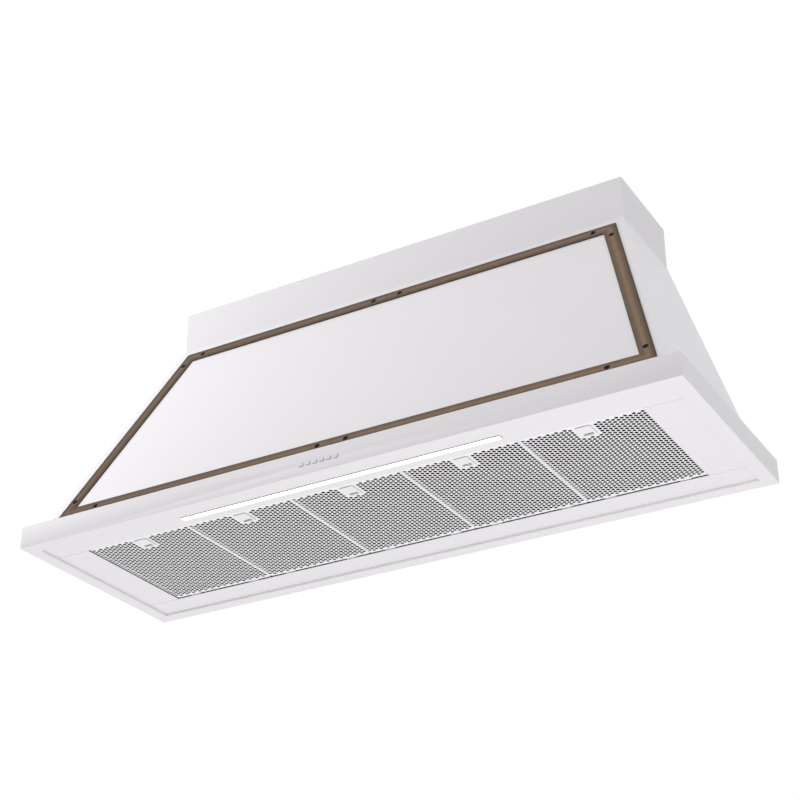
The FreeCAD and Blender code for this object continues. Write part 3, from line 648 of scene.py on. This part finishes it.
def latchHoles(number):
    # where the latch's stem slides, and the dark finger hole behind its plate's slot
    low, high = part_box(f"filter_{number}_latch")
    middleX = (low.x + high.x) / 2
    clear = latch["clear"] * mm
    stemHalf = (latch["stem"] / 2 * mm + clear,
                (latch["stemLength"] + latch["travel"]) / 2 * mm + clear)
    stemY = low.y + latch["stemSetback"] * mm + stemHalf[1] - clear
    slotHalf = ((latch["slotWidth"] / 2 - latch["slotInset"]) * mm,
                (latch["slotLength"] / 2 - latch["slotInset"]) * mm)
    slotY = high.y - (latch["length"] - latch["slotSetback"] - latch["slotLength"] / 2) * mm
    return [roundedRectangle((middleX, stemY), stemHalf, clear),
            roundedRectangle((middleX, slotY), slotHalf, clear)]


def traySection(height):
    # (distance in from the edge, height) round the folded rim of the tray
    t, bend = grille["sheet"], grille["bend"]
    nip = bend * grille["nip"]
    outer = [(grille["rim"], 0), (bend, 0), (nip, nip), (0, bend), (0, height - bend),
             (nip, height - nip), (bend, height), (grille["flange"], height)]
    inner = [(grille["flange"], height - t), (bend, height - t), (t, height - bend), (t, bend),
             (bend, t), (grille["rim"], t)]
    return outer + inner


def makeFilter(number):
    node = f"filter_{number}_frame"
    low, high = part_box(node)
    rearY = high.y - grille["tabReach"] * mm      # the rear tabs reach past the tray
    middle = ((low.x + high.x) / 2, (low.y + rearY) / 2)
    half = ((high.x - low.x) / 2, (rearY - low.y) / 2)
    height = (high.z - low.z) / mm
    bm = bmesh.new()
    rim = grille["rim"] * mm
    outline = roundedRectangle(middle, (half[0] - rim, half[1] - rim),
                               grille["leastCorner"] * mm)
    holes = grilleHoles(middle[0], low.y) + latchHoles(number)
    punchedSheet(bm, outline, holes, low.z, low.z + grille["sheet"] * mm, False)
    rows = []
    for inset, h in traySection(height):
        d = inset * mm
        corner = max(grille["corner"] * mm - d, grille["leastCorner"] * mm)
        ring = roundedRectangle(middle, (half[0] - d, half[1] - d), corner)
        rows.append([Vector((x, y, low.z + h * mm)) for x, y in ring])
    sweep(bm, rows)
    wide = grille["tabHalf"] * mm
    for side in (-1, 1):
        x = middle[0] + side * grille["tabMiddle"] * mm
        block(bm, (x - wide, rearY - grille["tabBury"] * mm, low.z + grille["tabFrom"] * mm),
              (x + wide, high.y, low.z + grille["tabTo"] * mm))
    standIn(f"filter_{number}_tray", bm, [node])


def makeLatch(number):
    node = f"filter_{number}_latch"
    low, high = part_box(node)
    middleX = (low.x + high.x) / 2
    half = (high.x - low.x) / 2
    rearY = high.y
    frontY = rearY - latch["length"] * mm
    plateTop = low.z + latch["proud"] * mm
    bm = bmesh.new()
    outline = roundedRectangle((middleX, (frontY + rearY) / 2),
                               (half, latch["length"] / 2 * mm), latch["corner"] * mm,
                               latch["plateSteps"])
    slotY = frontY + (latch["slotSetback"] + latch["slotLength"] / 2) * mm
    hole = roundedRectangle((middleX, slotY), (latch["slotWidth"] / 2 * mm,
                                               latch["slotLength"] / 2 * mm),
                            latch["slotCorner"] * mm, latch["slotSteps"])
    punchedSheet(bm, outline, [hole], low.z, plateTop)
    tongue = latch["tongue"] / 2 * mm
    stem = latch["stem"] / 2 * mm
    stemY = low.y + latch["stemSetback"] * mm
    block(bm, (middleX - stem, stemY, plateTop),
          (middleX + stem, stemY + latch["stemLength"] * mm, high.z - latch["stemShort"] * mm))
    block(bm, (middleX - tongue, low.y, high.z - latch["tongueThick"] * mm),
          (middleX + tongue, low.y + latch["tongueLength"] * mm, high.z))
    standIn(f"filter_{number}_pull", bm, [node], latch["soften"])


filterCount = sum(name.endswith("_latch") for name in slotOf)
for number in range(1, filterCount + 1):
    makeFilter(number)
    makeLatch(number)
print("filters made:", filterCount)


# millimetres: one push button, from its face inwards
pushButton = {"corner": 1.8, "edge": 0.7, "dish": 0.2, "capDepth": 5.5, "flangeOut": 1.4,
              "flangeFrom": 3.4, "flangeTo": 4.7, "stem": 2.0, "length": 15.5,
              "dishRings": 4, "dishPitch": 0.6, "edgeBend": 0.3, "leastCorner": 0.1,
              "stemBury": 0.2}


def makeButton(number):
    node = f"button_{number}"
    low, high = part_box(node)
    middle = Vector(((low.x + high.x) / 2, low.y, (low.z + high.z) / 2))
    out, edge, dish = pushButton["flangeOut"], pushButton["edge"], pushButton["dish"]
    halfX = (high.x - low.x) / 2 - out * mm     # the flange is the widest part, not the cap
    halfZ = (high.z - low.z) / 2 - out * mm
    rings, bend = pushButton["dishRings"], edge * pushButton["edgeBend"]
    profile = [(-edge - pushButton["dishPitch"] * i, dish * (1 - (1 - i / rings) ** 2))
               for i in range(rings, 0, -1)]
    profile += [(-edge, 0.0), (-bend, bend), (0, edge), (0, pushButton["flangeFrom"]),
                (out, pushButton["flangeFrom"]), (out, pushButton["flangeTo"]),
                (0, pushButton["flangeTo"]), (0, pushButton["capDepth"])]
    rows = []
    for grow, depth in profile:
        corner = max(pushButton["corner"] + grow, pushButton["leastCorner"]) * mm
        loop = roundedRectangle((0, 0), (halfX + grow * mm, halfZ + grow * mm), corner)
        rows.append([middle + Vector((x, depth * mm, z)) for x, z in loop])
    bm = bmesh.new()
    verts = sweep(bm, rows)
    bm.faces.new(verts[0])
    bm.faces.new(verts[-1])
    lathe(bm, [(pushButton["stem"], pushButton["capDepth"] - pushButton["stemBury"]),
               (pushButton["stem"], pushButton["length"])], middle, (0, 1, 0))
    standIn(f"button_{number}_cap", bm, [node])


buttonCount = sum(name.startswith("button_") for name in slotOf)
for number in range(1, buttonCount + 1):
    makeButton(number)
print("buttons made:", buttonCount)


# the opal strip: softly crowned between the housing's walls
lens = {"crown": 0.15, "steps": 8, "clear": 0.05, "soften": 0.15}


def makeLens():
    low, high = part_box("light_lens")
    clear = lens["clear"] * mm
    y = (low.y + clear, high.y - clear)
    section = [(y[0], high.z), (y[1], high.z)]
    for i in range(lens["steps"] + 1):
        part = i / lens["steps"]
        swell = 1 - (2 * part - 1) ** 2
        section.append((y[1] + (y[0] - y[1]) * part, low.z + (lens["crown"] * (1 - swell)) * mm))
    bm = bmesh.new()
    rows = [[Vector((x, a, b)) for a, b in section] for x in (low.x + clear, high.x - clear)]
    for end in sweep(bm, rows):
        bm.faces.new(end)
    standIn("light_lens_strip", bm, ["light_lens"], lens["soften"])


makeLens()
print("light bar made")


# what stays as the CAD made it: its slot's finish, and a soft edge where sheet is folded
softEdge = {"white_enamel": 0.25, "light_housing_white": 0.2, "galvanised": 0.3,
            "grey_plastic": 1.0, "driver_case": 1.2, "black_plastic": 0.6, "motor_paint": 0.8}


def finishNode(name, node):
    node.data.materials.clear()
    node.data.materials.append(finishes[slotOf[name]])
    width = softEdge.get(slotOf[name])
    if width:
        weld = node.modifiers.new("weld", "WELD")
        weld.merge_threshold = making["cadWeld"] * mm
        flat = node.modifiers.new("flatFaces", "DECIMATE")     # one face for each flat side
        flat.decimate_type = "DISSOLVE"
        flat.angle_limit = math.radians(making["flat"])
        softenEdges(node, width, making["softCad"])


for name, node in frame["nodes"].items():
    if not node.hide_render:
        finishNode(name, node)
print("CAD nodes finished")


# metres, watts and shares of white: the room round the hood
studio = {"floorDrop": 4.6, "floorSize": 40.0, "floorCells": 8, "backdrop": 1.0,
          "fromAbove": 1.24, "fromBehind": 0.66}
# matt seamless paper: no pattern to catch the eye, only a soft shadow
floorLook = {"colour": "F4F4F3", "shade": "F3F3F2", "roughness": 0.8, "drift": 0.04,
             "cloudMm": 400, "grainMm": 12, "reliefMm": 0.1}
softboxes = {  # power, size, place
    "leftSoftbox": (11.5, 1.0, (-1.5, -1.1, 0.3)),
    "frontSoftbox": (15.4, 2.0, (-0.8, -2.5, 1.0)),
    "underSoftbox": (9.0, 1.5, (1.0, -1.0, -2.4)),
    "leftFillSoftbox": (1.15, 1.0, (-1.4, 0.4, -1.4))}


def areaLight(name, power, size, place, target):
    lamp = bpy.data.lights.new(name, "AREA")
    lamp.energy = power
    lamp.size = size
    lampObject = bpy.data.objects.new(name, lamp)
    lampObject.location = place
    lampObject.rotation_euler = (Vector(target) - Vector(place)).to_track_quat("-Z", "Y").to_euler()
    bpy.context.scene.collection.objects.link(lampObject)
    lampObject.visible_camera = False
    lampObject.visible_glossy = False       # the sheen comes from the even room alone


def makeStudio():
    scene = bpy.context.scene
    scene.view_settings.view_transform = "Standard"
    world = bpy.data.worlds.new("studioRoom")
    world.use_nodes = True
    tree = world.node_tree
    tree.nodes.clear()
    seen = addNode(tree, "ShaderNodeLightPath").outputs["Is Camera Ray"]
    backdrop = addNode(tree, "ShaderNodeBackground", {"Strength": studio["backdrop"],
                                                      "Color": (1, 1, 1, 1)})
    way = addNode(tree, "ShaderNodeTexCoord").outputs["Generated"]
    ahead = addNode(tree, "ShaderNodeVectorMath", {"operation": "MAXIMUM", 1: (0, 0, 0)}, {0: way})
    shares = (0, studio["fromBehind"], studio["fromAbove"])
    glow = addNode(tree, "ShaderNodeVectorMath", {"operation": "DOT_PRODUCT", 1: shares},
                   {0: ahead.outputs[0]})
    room = addNode(tree, "ShaderNodeBackground", {"Color": (1, 1, 1, 1)},
                   {"Strength": glow.outputs["Value"]})
    mix = addNode(tree, "ShaderNodeMixShader", {}, {0: seen, 1: room.outputs[0],
                                                    2: backdrop.outputs[0]})
    addNode(tree, "ShaderNodeOutputWorld", {}, {"Surface": mix.outputs[0]})
    scene.world = world
    bm = bmesh.new()
    bmesh.ops.create_grid(bm, x_segments=studio["floorCells"], y_segments=studio["floorCells"],
                          size=studio["floorSize"] / 2)
    floor = putInScene("studioFloor", bm)
    floor.location = (0, 0, -studio["floorDrop"])
    floor.data.materials.append(plainSkin("paleFloor", floorLook))
    middle = (cadLow + cadHigh) / 2
    for name, (power, size, place) in softboxes.items():
        areaLight(name, power, size, place, middle)


# metres and degrees, and the lens and sensor in millimetres
cameraSetup = {"place": (1.631, -2.8527, -2.1015), "azimuth": 30.412, "elevation": -28.414,
               "roll": 0.087, "lens": 76.68, "sensor": 36.0, "farthest": 100.0}


def makeCamera():
    camera = bpy.data.cameras.new("studioCamera")
    camera.lens = cameraSetup["lens"]
    camera.sensor_width = cameraSetup["sensor"]
    camera.clip_end = cameraSetup["farthest"]
    cameraObject = bpy.data.objects.new("studioCamera", camera)
    a, e = math.radians(cameraSetup["azimuth"]), math.radians(cameraSetup["elevation"])
    back = Vector((math.sin(a) * math.cos(e), -math.cos(a) * math.cos(e), math.sin(e)))
    cameraObject.location = cameraSetup["place"]
    cameraObject.rotation_mode = "QUATERNION"
    roll = Matrix.Rotation(math.radians(cameraSetup["roll"]), 3, back)
    level = (-back).to_track_quat("-Z", "Y").to_matrix()
    cameraObject.rotation_quaternion = (roll @ level).to_quaternion()
    bpy.context.scene.collection.objects.link(cameraObject)
    bpy.context.scene.camera = cameraObject


makeStudio()
makeCamera()
print("studio made")
